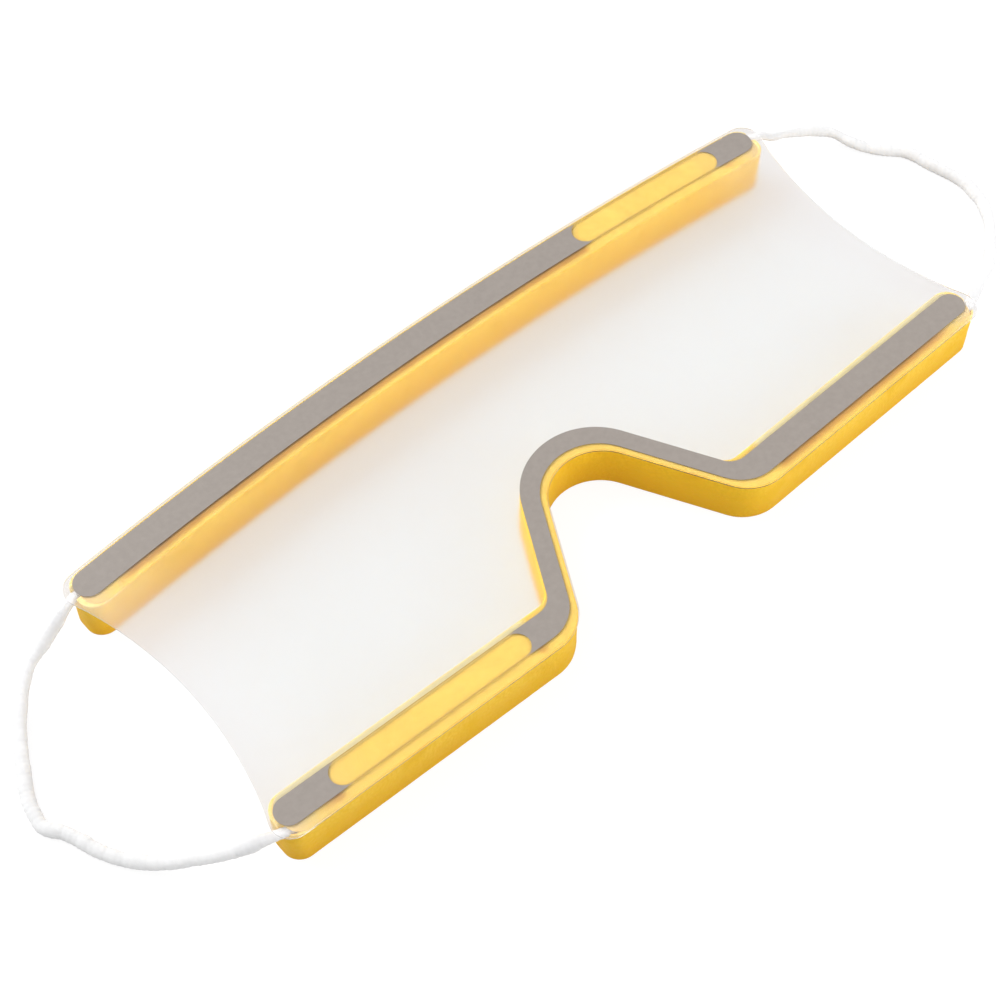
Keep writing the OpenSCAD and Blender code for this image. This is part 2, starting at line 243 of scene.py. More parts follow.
class FoamSettings(bpy.types.PropertyGroup):
    """The two foam strips"""

    step: distance("Step", "Distance between the points of the foam's surface",
                   0.00045, 0.0003, 0.002)
    skin_round: distance("Skin rounding", "Rounding of the edges on the skin side",
                         0.00035, 0.0001, 0.001)
    film_round: distance("Film rounding", "Rounding of the edges under the film",
                         0.00015, 0.00005, 0.001)
    relief: distance("Relief", "Depth of the soft unevenness of the cut sides", 0.00007, 0, 0.0003)
    cell: distance("Cell size", "Size of the foam's visible cells", 0.0007, 0.0002, 0.002)
    gold: colour("Gold", "Colour of the foam", (1.0, 0.66, 0.07))
    deep_gold: colour("Deep gold", "Colour in the hollows between the cells", (0.84, 0.48, 0.012))
    # Painted shade: the sides darken towards the floor, where less light reaches
    foot_painted_shade: colour("Foot gold", "Colour of the sides near the skin", (0.78, 0.395, 0.013))
    # Painted lightening: the upper side at the ends is drawn paler, as if lit more
    tip_painted_light: colour("Tip gold", "Paler colour of the upper side at the ends", (0.92, 0.72, 0.28))
    # Painted bounce light: the deeper, more saturated gold over the nose stands for yellow light
    # bouncing round the notch
    nose_painted_bounce: colour("Nose gold", "Deeper colour of the strip over the nose", (1.0, 0.62, 0.02))


class LayerSettings(bpy.types.PropertyGroup):
    """The film, the tape under it and the ink on it"""

    film_tint: colour("Film tint", "Tint of the clear film", (0.945, 0.945, 0.95))
    film_haze: share("Film haze", "How far the film blurs what lies well below it", 0.2)
    end_veil: share("End veil", "How milky the film is near its ends", 0.06)
    edge_tint: colour("Edge tint", "Tint of the film's cut edges over the foam",
                      (0.12, 0.065, 0.02))
    end_tint: colour("End tint", "Tint of the film's cut edges at the hollow ends",
                     (0.85, 0.85, 0.85))
    tape: colour("Tape", "Colour of the double-sided tape", (1.0, 0.78, 0.18))
    tape_cover: share("Tape cover", "How much of the foam's colour the tape covers", 0.5)
    # Painted pale veil: stands for the film's reflection along the lens side of the legs
    lens_side_painted_veil: colour("Loose tape", "Colour of the tape where it isn't pressed down along the "
                       "lens", (1.0, 0.92, 0.64))
    # Painted lightening of the tape at its four tips, as if lit more
    tape_tip_painted_light: colour("Tape at the ends", "Colour of the tape at its four tips",
                     (0.95, 0.74, 0.38))
    # Painted shadow: colour of the shadow that the printed bands cast on the tape along their lower
    # edges
    band_painted_shadow: colour("Shaded tape", "Colour of the tape along the lower edge of the printed "
                        "bands", (0.84, 0.53, 0.12))
    ink: colour("Ink", "Colour of the printed bands", (0.295, 0.26, 0.233))
    line_ink: colour("Line ink", "Colour of the thin printed lines beside the windows",
                     (0.49, 0.325, 0.085))
    ink_roughness: share("Ink roughness", "Roughness of the printed bands", 0.5)


class StudioSettings(bpy.types.PropertyGroup):
    """Camera, floor and light"""

    azimuth: FloatProperty(
        name="Azimuth", description="Direction of the camera round the glasses",
        default=math.radians(-41.25), subtype="ANGLE")
    elevation: FloatProperty(
        name="Elevation", description="Height of the camera above the floor's plane",
        default=math.radians(55.94), subtype="ANGLE")
    away: distance("Distance", "Distance of the camera from its target", 0.37701, 0.1, 3)
    target: FloatVectorProperty(
        name="Target", description="Point that the camera looks at",
        default=(-0.01051, -0.0009, 0), subtype="TRANSLATION", unit="LENGTH")
    lens: FloatProperty(
        name="Lens", description="Focal length on a sensor 36 mm wide",
        default=70.84, min=20, max=200, unit="CAMERA")
    key: power("Key light", "Power of the large lamp", 14.7, 100)
    fill: power("Right fill light", "Power of the small lamp at the right", 0.45, 20)
    left_fill: power("Left fill light", "Power of the small lamp at the left", 0.26, 20)
    ambient: FloatProperty(
        name="Ambient", description="Strength of the light from all round",
        default=0.64, min=0, max=3)
    floor_glow: share("Floor glow", "How much of the floor's white doesn't depend on the lamps",
                      0.88)
    film_floor_glow: colour("Glow through film", "Glow of the floor as seen through the film",
                            (0.67, 0.518, 0.412))
    film_floor_matt: colour("White through film", "Matt part of that floor, which keeps its "
                            "shadows warm", (0.185, 0.29, 0.365))


def smooth_path(points, step, samples=40):
    """Evenly spaced points on the smooth curve through the given points"""
    p = np.array(points, float)
    p = np.vstack([2*p[0] - p[1], p, 2*p[-1] - p[-2]])
    t = np.concatenate([[0], np.cumsum(np.sqrt(np.linalg.norm(np.diff(p, axis=0), axis=1)))])

    def between(i, j, u, first, second):
        return (t[j] - u)/(t[j] - t[i])*first + (u - t[i])/(t[j] - t[i])*second

    dense = []
    for i in range(1, len(p) - 2):
        for u in np.linspace(t[i], t[i + 1], samples, endpoint=False):
            a = [between(k, k + 1, u, p[k], p[k + 1]) for k in (i - 1, i, i + 1)]
            b = [between(i - 1 + k, i + 1 + k, u, a[k], a[k + 1]) for k in (0, 1)]
            dense.append(between(i, i + 1, u, b[0], b[1]))
    dense.append(p[-2])
    dense = np.array(dense)
    along = np.concatenate([[0], np.cumsum(np.linalg.norm(np.diff(dense, axis=0), axis=1))])
    places = np.linspace(0, along[-1], int(along[-1]/step) + 1)
    return np.stack([np.interp(places, along, dense[:, k]) for k in range(3)], 1), places


def wander(s, side, kind):
    """A smooth random value from about -1 to 1 along an elastic"""
    seed, pitch = kind
    return 2*noise.noise(Vector((s/pitch, seed + side, 0.5)))


def unit(v):
    """The direction of a vector, with the length 1"""
    return v/np.linalg.norm(v)


def make_mesh(name, points, faces):
    """A smooth-shaded mesh object from points and faces"""
    mesh = bpy.data.meshes.new(name)
    mesh.from_pydata([tuple(p) for p in points], [], faces)
    mesh.validate()
    mesh.update()
    mesh.polygons.foreach_set("use_smooth", [True]*len(mesh.polygons))
    piece = bpy.data.objects.new(name, mesh)
    bpy.context.scene.collection.objects.link(piece)
    return piece


def joined_rings(rings, count):
    """The faces of a tube from rings of as many points each, ring after ring"""
    faces = []
    for j in range(rings - 1):
        for i in range(count):
            a, b = j*count + i, j*count + (i + 1) % count
            faces.append((a, b, b + count, a + count))
    return faces


def route(side):
    """The whole way of one elastic, from its held brow end round to its held cheek end"""
    loop = LEFT_LOOP if side < 0 else RIGHT_LOOP

    def placed(points):
        return [(side*x, y, z) for x, y, z in points]

    return placed(HELD_BROW[::-1] + [BROW_TURN]) + loop + placed([CHEEK_TURN] + HELD_CHEEK)


def elastic_rings(side, settings):
    """Centre, half width, half height and twist of each ring of one elastic, and its place"""
    centres, places = smooth_path(route(side), RING_STEP)
    rings = []
    for c, s in zip(centres, places):
        past_turn = abs(c[0]) - BROW_TURN[0]
        free = np.clip((past_turn - SWELL_START)/SWELL_LENGTH, 0, 1)
        free = free*free*(3 - 2*free)
        squeezed = 1 - settings.held_taper*np.clip(-past_turn/HELD_TAPER_LENGTH, 0, 1)
        drawn = 1
        if side > 0 and c[1] > 0:
            drawn = 1 - settings.slack_taper*(1 - np.clip(past_turn/THIN_START_LENGTH, 0, 1))
        soft = 1 + settings.unevenness*(0.7*wander(s, side, SLOW) + 0.5*wander(s, side, QUICK))
        half_w = (settings.held_width*squeezed*(1 - free) + settings.width*drawn*free)/2
        half_h = (settings.held_height*squeezed*(1 - free) + settings.height*drawn*free)/2
        twist = free*(0.7*wander(s, side, TWIST) + 0.5)
        rings.append((c, half_w*soft, half_h*(2 - soft if free < 0.5 else soft), twist))
    settled = []
    for c, w, h, twist in rings:
        reach = math.hypot(w*math.sin(twist), h*math.cos(twist))
        x, y, z = c
        if z < HANGING_Z:
            hanging = max(0, z - LYING_Z)/(HANGING_Z - LYING_Z)
            z = max(reach, z - (LYING_Z - reach)*(1 - hanging))
        if abs(x) > BROW_TURN[0] + SWAY_START:
            x += SWAY_REACH*wander(y, side, SWAY)
        settled.append((np.array([x, y, z]), w, h, twist))
    return settled, places


def make_elastic(side, settings):
    """One ear elastic as a single soft cord, with its braid in relief"""
    rings, places = elastic_rings(side, settings)
    centres = np.array([r[0] for r in rings])
    points = []
    for i, (c, w, h, twist) in enumerate(rings):
        along = unit(centres[min(i + 1, len(rings) - 1)] - centres[max(i - 1, 0)])
        across = unit(np.cross([0, 0, 1], along))
        up = np.cross(along, across)
        wide = math.cos(twist)*across + math.sin(twist)*up
        thin = math.cos(twist)*up - math.sin(twist)*across
        to_end = min(places[i], places[-1] - places[i])
        shut = math.sqrt(max(END_AREA, 1 - (1 - min(1, to_end/(END_ROUNDING*h)))**2))
        turns = places[i]/settings.braid_pitch*math.pi
        for k in range(RING_POINTS):
            a = 2*math.pi*k/RING_POINTS
            strand = math.sin(STRANDS*a + turns)*math.sin(STRANDS*a - turns)
            relief = settings.braid_depth*strand
            points.append(c + wide*math.cos(a)*(w*shut + relief)
                          + thin*math.sin(a)*(h*shut + relief))
    faces = joined_rings(len(rings), RING_POINTS)
    last = (len(rings) - 1)*RING_POINTS
    points += [centres[0] - END_POINT*unit(centres[1] - centres[0]),
               centres[-1] + END_POINT*unit(centres[-1] - centres[-2])]
    for k in range(RING_POINTS):
        following = (k + 1) % RING_POINTS
        faces.append((len(points) - 2, following, k))
        faces.append((len(points) - 1, last + k, last + following))
    points = np.array(points)
    points[:, 2] = np.maximum(points[:, 2], FLOOR_GAP)
    name = "left_elastic_cord" if side < 0 else "right_elastic_cord"
    return make_mesh(name, points, faces), centres


def strip_outline(node, step):
    """Evenly spaced points round the skin side of a foam solid, anticlockwise, and their normals"""
    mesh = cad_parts[node].data
    corners = {}
    ids = [corners.setdefault(tuple(round(x, 7) for x in v.co), len(corners))
           for v in mesh.vertices]
    sides = set()
    for face in mesh.polygons:
        if face.normal.z < -0.99:
            ring = [ids[v] for v in face.vertices]
            sides.update(zip(ring, ring[1:] + ring[:1]))
    following = {a: b for a, b in sides if (b, a) not in sides}
    corner = {i: p for p, i in corners.items()}
    start = next(iter(following))
    loop, here = [corner[start]], following[start]
    while here != start:
        loop.append(corner[here])
        here = following[here]
    if len(loop) != len(following):
        raise RuntimeError(f"the skin side of {node} has more than one outline")
    loop = np.array(loop[::-1] + [loop[-1]])[:, :2]
    along = np.concatenate([[0], np.cumsum(np.linalg.norm(np.diff(loop, axis=0), axis=1))])
    places = np.linspace(0, along[-1], int(along[-1]/step), endpoint=False)
    ring = np.stack([np.interp(places, along, loop[:, k]) for k in range(2)], 1)
    t = np.roll(ring, -1, 0) - np.roll(ring, 1, 0)
    t /= np.linalg.norm(t, axis=1)[:, None]
    return ring, np.stack([t[:, 1], -t[:, 0]], 1)


def inside(points, ring):
    """Which of the points lie inside the ring"""
    x, y = points[:, 0][:, None], points[:, 1][:, None]
    a, b = ring, np.roll(ring, -1, 0)
    between = (a[:, 1] > y) != (b[:, 1] > y)
    rise_y = np.where(b[:, 1] == a[:, 1], 1, b[:, 1] - a[:, 1])
    crossed = x < a[:, 0] + (y - a[:, 1])*(b[:, 0] - a[:, 0])/rise_y
    return (between & crossed).sum(1) % 2 == 1


def fill_cap(ring, step):
    """Points inside a ring, and triangles that fill it; the ring's own points come first"""
    low, high = ring.min(0), ring.max(0)
    rows = []
    for j, y in enumerate(np.arange(low[1], high[1], step*0.87)):
        xs = np.arange(low[0] + (j % 2)*step/2, high[0], step)
        rows.append(np.stack([xs, np.full(len(xs), y)], 1))
    grid = np.vstack(rows)
    grid = grid[inside(grid, ring)]
    gap = np.array([np.min(np.sum((ring - g)**2, 1)) for g in grid])
    grid = grid[gap > (0.55*step)**2]
    flat = [Vector(p) for p in np.vstack([ring, grid])]
    found = geometry.delaunay_2d_cdt(flat, [], [list(range(len(ring)))], 1, 1e-9)
    came_from = [min(o) if o else -1 for o in found[3]]
    if -1 in came_from:
        raise RuntimeError("the outline of a foam strip crosses itself")
    return grid, [[came_from[v] for v in face] for face in found[2]]


def groove_depth(points, rings):
    """How far each point lies above the underside of a pressed elastic"""
    held = [r for r in rings if abs(r[0][0]) < BROW_TURN[0]][::3]
    centres = np.array([r[0] for r in held])
    half_w = np.array([r[1] for r in held])*GROOVE_WIDTH
    half_h = np.array([r[2] for r in held])*GROOVE_HEIGHT
    depth = np.zeros(len(points))
    for i in np.where(np.abs(points[:, 0]) > GROOVES_BEGIN)[0]:
        d = np.linalg.norm(centres[:, :2] - points[i, :2], axis=1)/half_w
        under = centres[:, 2] - half_h*np.sqrt(np.maximum(0, 1 - d*d)) + np.where(d < 1, 0, 1)
        depth[i] = max(0, FOAM_TOP - under.min())
    return depth


def foam_profile(settings, top):
    """Inset and height of the rows of points up a foam strip's cut side, with rounded edges"""
    profile = []
    for a in (math.pi/2*k/4 for k in range(5)):
        profile.append((settings.skin_round*(1 - math.sin(a)),
                        settings.skin_round*(1 - math.cos(a))))
    straight = top - settings.skin_round - settings.film_round
    rows = int(straight/settings.step)
    profile += [(0, settings.skin_round + straight*k/rows) for k in range(1, rows + 1)]
    for a in (math.pi/2*k/3 for k in range(1, 4)):
        profile.append((settings.film_round*(1 - math.cos(a)),
                        top - settings.film_round*(1 - math.sin(a))))
    return profile


def make_foam(name, node, rings, settings):
    """One foam strip: soft uneven cut sides, rounded edges, and grooves under held elastics"""
    ring, outward = strip_outline(node, settings.step)
    top = FOAM_TOP - TAPE_GAP
    profile = foam_profile(settings, top)
    count = len(ring)
    points = []
    for inset, z in profile:
        keep = min(1, z/CALM_EDGE)*min(1, (top - z)/CALM_EDGE)
        for p, o in zip(ring, outward):
            v = Vector((p[0], p[1], z))
            wave = noise.noise(v/CUT_WAVES[0]) + 0.6*noise.noise(v/CUT_WAVES[1])
            q = p - o*(inset + settings.relief*keep*(0.8 + wave))
            points.append((q[0], q[1], z))
    faces = joined_rings(len(profile), count)
    for row, z, below in ((0, 0.0, True), (len(profile) - 1, top, False)):
        border = np.array(points[row*count:(row + 1)*count])[:, :2]
        grid, triangles = fill_cap(border, settings.step*1.5)
        first = len(points)
        for x, y in grid:
            lift = SKIN_DEPTH*(1 + noise.noise(Vector((x, y, 7))/SKIN_WAVE)) if below else 0
            points.append((x, y, z + lift))
        for t in triangles:
            t = [row*count + v if v < count else first + v - count for v in t]
            faces.append(t[::-1] if below else t)
    points = np.array(points)
    for held in rings:
        depth = groove_depth(points, held)
        points[:, 2] -= depth*np.clip(points[:, 2]/FOAM_TOP, 0, 1)**GROOVE_FADE
    return make_mesh(name, points, faces)


def new_material(name):
    """A node material without nodes, and its tree"""
    material = bpy.data.materials.new(name)
    material.use_nodes = True
    material.node_tree.nodes.clear()
    return material, material.node_tree


def add_node(tree, kind, inputs=(), **options):
    """A node with its options set, and with values, colours or links for its inputs"""
    node = tree.nodes.new(kind)
    for key, value in options.items():
        setattr(node, key, value)
    for key, value in dict(inputs).items():
        if isinstance(value, bpy.types.NodeSocket):
            tree.links.new(value, node.inputs[key])
        elif node.inputs[key].type == "RGBA":
            node.inputs[key].default_value = (*value, 1)
        else:
            node.inputs[key].default_value = value
    return node


def show(tree, shader, kind="ShaderNodeOutputMaterial"):
    """Give a material, or a world, the surface that a shader makes"""
    add_node(tree, kind, {"Surface": shader.outputs[0]})


def coordinates(tree):
    """The piece's own coordinates, all together, and one by one under their letters"""
    place = add_node(tree, "ShaderNodeTexCoord").outputs["Object"]
    return place, add_node(tree, "ShaderNodeSeparateXYZ", {"Vector": place}).outputs


def soft_noise(tree, place, scale, detail):
    """Soft noise that lies round 0.5"""
    return add_node(tree, "ShaderNodeTexNoise", {
        "Vector": place, "Scale": scale, "Detail": detail}).outputs["Fac"]


def raised(tree, height, strength, depth, invert=False):
    """A normal that shows a height as relief"""
    return add_node(tree, "ShaderNodeBump", {
        "Height": height, "Strength": strength, "Distance": depth}, invert=invert).outputs[0]


def mixed(tree, factor, first, second):
    """A colour between two others"""
    return add_node(tree, "ShaderNodeMix", {0: factor, 6: first, 7: second},
                    data_type="RGBA").outputs[2]


def mixed_shaders(tree, factor, first, second):
    """A shader between two others"""
    return add_node(tree, "ShaderNodeMixShader", {
        0: factor, 1: first.outputs[0], 2: second.outputs[0]})


def reckon(tree, operation, *values):
    """The result of a sum on values of the tree"""
    return add_node(tree, "ShaderNodeMath", dict(enumerate(values)),
                    operation=operation).outputs[0]


def spread(tree, value, low, high, at_low, at_high, form="LINEAR"):
    """A value that changes from one level to another between two marks"""
    return add_node(tree, "ShaderNodeMapRange", {
        "Value": value, "From Min": low, "From Max": high, "To Min": at_low, "To Max": at_high},
        interpolation_type=form).outputs[0]


def rise(tree, value, low, high, level=1.0):
    """0 below the low mark and the level above the high one, with a soft change between them"""
    return spread(tree, value, low, high, 0.0, level, "SMOOTHSTEP")


def fall(tree, value, low, high):
    """1 below the low mark and 0 above the high one, with a soft change between them"""
    return spread(tree, value, low, high, 1.0, 0.0, "SMOOTHSTEP")


def at_window(tree, x, window, outer, inner):
    """1 along a window; the soft change at its ends lies between two distances inside them"""
    middle, reach = window
    aside = reckon(tree, "ABSOLUTE", reckon(tree, "SUBTRACT", x, middle))
    return fall(tree, aside, reach - inner, reach - outer)


def foam_finish(settings):
    """Fine golden foam: small cells in relief, soft mottling, painted shade at the foot, painted
    bounce light over the nose, painted lightening on the upper side at the tips
    """
    material, tree = new_material("golden_foam")
    place, at = coordinates(tree)
    aside = reckon(tree, "ABSOLUTE", at["X"])
    cells = add_node(tree, "ShaderNodeTexVoronoi", {"Vector": place, "Scale": 1/settings.cell})
    height = reckon(tree, "ADD", cells.outputs["Distance"], soft_noise(tree, place, 1500.0, 2.0))
    hollows = spread(tree, height, 0.6, 1.35, 0.0, 0.6)
    clouds = spread(tree, soft_noise(tree, place, 180.0, 3.0), 0.4, 0.65, 0.0, 0.8)
    # Painted bounce light in the notch over the nose, on the cheek strip only
    bounce_over_nose = reckon(tree, "MULTIPLY", fall(tree, aside, *NOSE_BOUNCE_ENDS),
                       reckon(tree, "LESS_THAN", at["Y"], 0.0))
    # Painted shade, strongest at the foot
    foot_shade_share = spread(tree, at["Z"], 0.0, FOAM_TOP, 1.0, 0.0)
    # Painted lightening on the upper side at the tips
    lit_upper_tips = reckon(tree, "MULTIPLY", rise(tree, aside, *FOAM_LIT_TIPS_BEGIN),
                        reckon(tree, "GREATER_THAN", at["Z"], FOAM_TOP - LIT_TIP_DEPTH))
    shade = mixed(tree, bounce_over_nose, settings.gold, settings.nose_painted_bounce)
    shade = mixed(tree, foot_shade_share, shade, settings.foot_painted_shade)
    shade = mixed(tree, lit_upper_tips, shade, settings.tip_painted_light)
    shade = mixed(tree, reckon(tree, "MAXIMUM", hollows, clouds), shade, settings.deep_gold)
    show(tree, add_node(tree, "ShaderNodeBsdfPrincipled", {
        "Base Color": shade, "Roughness": 0.7, "Specular IOR Level": 0.2,
        "Normal": raised(tree, height, 0.5, 0.00012, invert=True),
        "Sheen Weight": 0.03, "Sheen Roughness": 0.4, "Subsurface Weight": 0.25,
        "Subsurface Radius": (1.0, 0.45, 0.12), "Subsurface Scale": 0.0016}))
    return material


def elastic_finish(settings):
    """Soft white braid with faint grey patches, and painted shade on the held ends"""
    material, tree = new_material("white_braid")
    place, at = coordinates(tree)
    white = tuple(settings.white)
    patches = spread(tree, soft_noise(tree, place, 330.0, 2.0), 0.35, 0.65, 0.0, 0.5)
    # Painted shade on the held ends
    held = fall(tree, reckon(tree, "ABSOLUTE", at["X"]), *HELD_SHADE_ENDS)
    shade = mixed(tree, patches, white, tuple(c*0.93 for c in white))
    shade = mixed(tree, held, shade, settings.held_painted_shade)
    show(tree, add_node(tree, "ShaderNodeBsdfPrincipled", {
        "Base Color": shade, "Roughness": 0.9, "Specular IOR Level": 0.2,
        "Normal": raised(tree, soft_noise(tree, place, 2600.0, 4.0), 0.5, 0.00008),
        "Sheen Weight": 0.2, "Sheen Roughness": 0.5, "Subsurface Weight": 0.9,
        "Subsurface Radius": (1.0, 1.0, 1.0), "Subsurface Scale": 0.002}))
    return material


def film_finish(settings):
    """Clear hazy film, milky near its ends; its cut edges look dark where foam lies below them"""
    material, tree = new_material("hazy_clear_film")
    place, at = coordinates(tree)
    along, across = reckon(tree, "ABSOLUTE", at["X"]), reckon(tree, "ABSOLUTE", at["Y"])
    normal = add_node(tree, "ShaderNodeNewGeometry").outputs["True Normal"]
    up = add_node(tree, "ShaderNodeSeparateXYZ", {"Vector": normal}).outputs["Z"]
    on_face = reckon(tree, "GREATER_THAN", reckon(tree, "ABSOLUTE", up), 0.5)
    hollow = reckon(tree, "MULTIPLY", reckon(tree, "LESS_THAN", across, HOLLOW_Y),
                    reckon(tree, "GREATER_THAN", along, HOLLOW_X))
    no_foam = reckon(tree, "MAXIMUM", hollow, reckon(tree, "GREATER_THAN", along, CORNER_X))
    cut = mixed(tree, no_foam, settings.edge_tint, settings.end_tint)
    shade = mixed(tree, on_face, cut, settings.film_tint)
    clear = add_node(tree, "ShaderNodeBsdfPrincipled", {
        "Base Color": shade, "Roughness": settings.film_haze, "IOR": 1.5,
        "Transmission Weight": 1.0,
        "Normal": raised(tree, soft_noise(tree, place, 22.0, 1.0), 0.12, 0.001)})
    milky = rise(tree, along, *FILM_TURNS_MILKY, settings.end_veil)
    veil = add_node(tree, "ShaderNodeBsdfDiffuse", {"Color": (0.9, 0.9, 0.95)})
    shadow = add_node(tree, "ShaderNodeBsdfTransparent", {"Color": (0.97, 0.96, 0.94)})
    shadow_rays = add_node(tree, "ShaderNodeLightPath").outputs["Is Shadow Ray"]
    show(tree, mixed_shaders(tree, shadow_rays, mixed_shaders(tree, milky, clear, veil), shadow))
    return material


def tape_finish(settings):
    """Thin cream tape: foam shows through; a painted pale veil along the lens, painted lightening at
    its tips and a painted shadow below the printed bands"""
    material, tree = new_material("cream_tape")
    place, at = coordinates(tree)
    aside = reckon(tree, "ABSOLUTE", at["X"])
    brow = reckon(tree, "GREATER_THAN", at["Y"], 0.0)
    legs = reckon(tree, "MULTIPLY", reckon(tree, "LESS_THAN", at["Y"], 0.0),
                  rise(tree, aside, *LEGS_BEGIN))

    # The place across the legs, and the distance from the centre of the brow's curve
    height = reckon(tree, "MULTIPLY_ADD", aside, -LEG_SLOPE, at["Y"])
    from_centre = add_node(tree, "ShaderNodeVectorMath", {
        0: place, 1: (0.0, BROW_RADIUS - BROW_EDGE, 0.0)}, operation="ADD").outputs[0]
    flat = add_node(tree, "ShaderNodeVectorMath", {
        0: from_centre, 1: (1.0, 1.0, 0.0)}, operation="MULTIPLY").outputs[0]
    radius = add_node(tree, "ShaderNodeVectorMath", {0: flat}, operation="LENGTH").outputs["Value"]

    # Painted shadow of the printed bands on the tape along their lower edges, left out at the
    # windows
    painted_band_shadows = []
    for half, across, edge, begins, ends, window in (
        (brow, radius, BROW_RADIUS, *BROW_PAINTED_SHADOW, BARE_WINDOWS[0]),
        (legs, height, LEG_BAND_EDGE, *LEG_PAINTED_SHADOW, BARE_WINDOWS[1]),
    ):
        strip = reckon(tree, "MULTIPLY", rise(tree, across, edge + begins[0], edge + begins[1]),
                       fall(tree, across, edge + ends[0], edge + ends[1]))
        printed = reckon(tree, "SUBTRACT", 1.0, at_window(tree, at["X"], window, 0.0, 0.002))
        painted_band_shadows.append(reckon(tree, "MULTIPLY", reckon(tree, "MULTIPLY", half, strip), printed))
    painted_shadow = reckon(tree, "MULTIPLY", reckon(tree, "MAXIMUM", *painted_band_shadows),
                    fall(tree, aside, *PAINTED_SHADOW_ENDS))
    # Painted pale veil along the lens side of the legs, standing for the film's reflection there
    painted_veil = reckon(tree, "MULTIPLY", legs,
                   rise(tree, height, LEG_LENS_SIDE - PAINTED_VEIL_EDGE, LEG_LENS_SIDE))

    # The tape's colour with the painted shadow below the bands
    shade = mixed(tree, painted_shadow, settings.tape, settings.band_painted_shadow)
    # Painted lightening at the tape's tips
    shade = mixed(tree, rise(tree, aside, *TAPE_LIT_TIPS_BEGIN, 0.8), shade, settings.tape_tip_painted_light)
    # Painted pale veil along the lens side of the legs
    shade = mixed(tree, painted_veil, shade, settings.lens_side_painted_veil)
    cover = spread(tree, soft_noise(tree, place, 260.0, 3.0), 0.3, 0.7,
                   settings.tape_cover*0.85, settings.tape_cover*1.15)
    # The painted shadow and the painted pale veil also let less of the foam show through
    hidden = reckon(tree, "MULTIPLY_ADD", reckon(tree, "MAXIMUM", painted_veil, painted_shadow), 0.4, cover)
    show(tree, add_node(tree, "ShaderNodeBsdfPrincipled", {
        "Base Color": shade, "Roughness": 0.4, "Alpha": reckon(tree, "MINIMUM", 1.0, hidden)}))
    return material


def ink_finish(settings):
    """Satin grey printing ink with a very fine mottle, golden on the thin lines at the windows"""
    material, tree = new_material("grey_printing_ink")
    place, at = coordinates(tree)
    grain = soft_noise(tree, place, 900.0, 4.0)
    ink = tuple(settings.ink)
    shade = mixed(tree, spread(tree, grain, 0.3, 0.7, 0.0, 1.0), tuple(c*0.96 for c in ink),
                  tuple(c*1.05 for c in ink))
    lines = [reckon(tree, "MULTIPLY", at_window(tree, at["X"], window, 0.0015, 0.004),
                    reckon(tree, own_side, at["Y"], 0.0))
             for window, own_side in zip(BARE_WINDOWS, ("GREATER_THAN", "LESS_THAN"))]
    shade = mixed(tree, reckon(tree, "MAXIMUM", *lines), shade, settings.line_ink)
    show(tree, add_node(tree, "ShaderNodeBsdfPrincipled", {
        "Base Color": shade, "Roughness": settings.ink_roughness,
        "Normal": raised(tree, grain, 0.15, 0.00002)}))
    return material


def seen_rays(tree):
    """1 for what the camera sees, also through the film or in a reflection"""
    rays = add_node(tree, "ShaderNodeLightPath").outputs
    first = reckon(tree, "MAXIMUM", rays["Is Camera Ray"], rays["Is Glossy Ray"])
    return reckon(tree, "MAXIMUM", first, rays["Is Transmission Ray"])


def floor_finish(studio):
    """Pale floor that looks white to the camera and in the film, and keeps a soft shadow"""
    material, tree = new_material("white_floor")
    lighting = add_node(tree, "ShaderNodeBsdfDiffuse", {"Color": (0.52, 0.52, 0.52)})
    bare, covered = [
        add_node(tree, "ShaderNodeAddShader", {
            0: add_node(tree, "ShaderNodeEmission", {"Color": glow}).outputs[0],
            1: add_node(tree, "ShaderNodeBsdfDiffuse", {"Color": matt}).outputs[0]})
        for glow, matt in (((studio.floor_glow,)*3, (1.05 - studio.floor_glow,)*3),
                           (studio.film_floor_glow, studio.film_floor_matt))]
    through_film = add_node(tree, "ShaderNodeLightPath").outputs["Is Transmission Ray"]
    white = mixed_shaders(tree, through_film, bare, covered)
    show(tree, mixed_shaders(tree, seen_rays(tree), lighting, white))
    return material


def put_material(piece, material):
    """Gives a piece, or a solid of the frame, one material"""
    piece.data.materials.clear()
    piece.data.materials.append(material)


class GLASSES_OT_place_camera(bpy.types.Operator):
    """Place the camera at the picture's viewing angle"""

    bl_idname = "glasses.place_camera"
    bl_label = "Place Camera"
    bl_options = {"REGISTER", "UNDO"}

    def execute(self, context):
        studio = context.scene.glasses_studio
        back = Vector((math.sin(studio.azimuth)*math.cos(studio.elevation),
                       -math.cos(studio.azimuth)*math.cos(studio.elevation),
                       math.sin(studio.elevation)))
        camera = bpy.data.objects.new("camera", bpy.data.cameras.new("camera"))
        context.scene.collection.objects.link(camera)
        camera.location = Vector(studio.target) + studio.away*back
        camera.rotation_euler = (-back).to_track_quat("-Z", "Y").to_euler()
        camera.data.sensor_width = 36
        camera.data.lens = studio.lens
        camera.data.clip_start = 0.01
        context.scene.camera = camera
        return {"FINISHED"}


class GLASSES_OT_make_elastics(bpy.types.Operator):
    """Make both ear elastics, each one soft cord from held end to held end"""

    bl_idname = "glasses.make_elastics"
    bl_label = "Make Ear Elastics"
    bl_options = {"REGISTER", "UNDO"}

    def execute(self, context):
        settings = context.scene.glasses_elastic
        finish = elastic_finish(settings)
        for side, word, length in ((-1, "left", settings.left_length),
                                   (1, "right", settings.right_length)):
            cord, centres = make_elastic(side, settings)
            put_material(cord, finish)
            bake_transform(cord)
            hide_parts(f"{word}_ear_elastic", f"{word}_brow_cord_end",
                        f"{word}_cheek_cord_end")
        return {"FINISHED"}


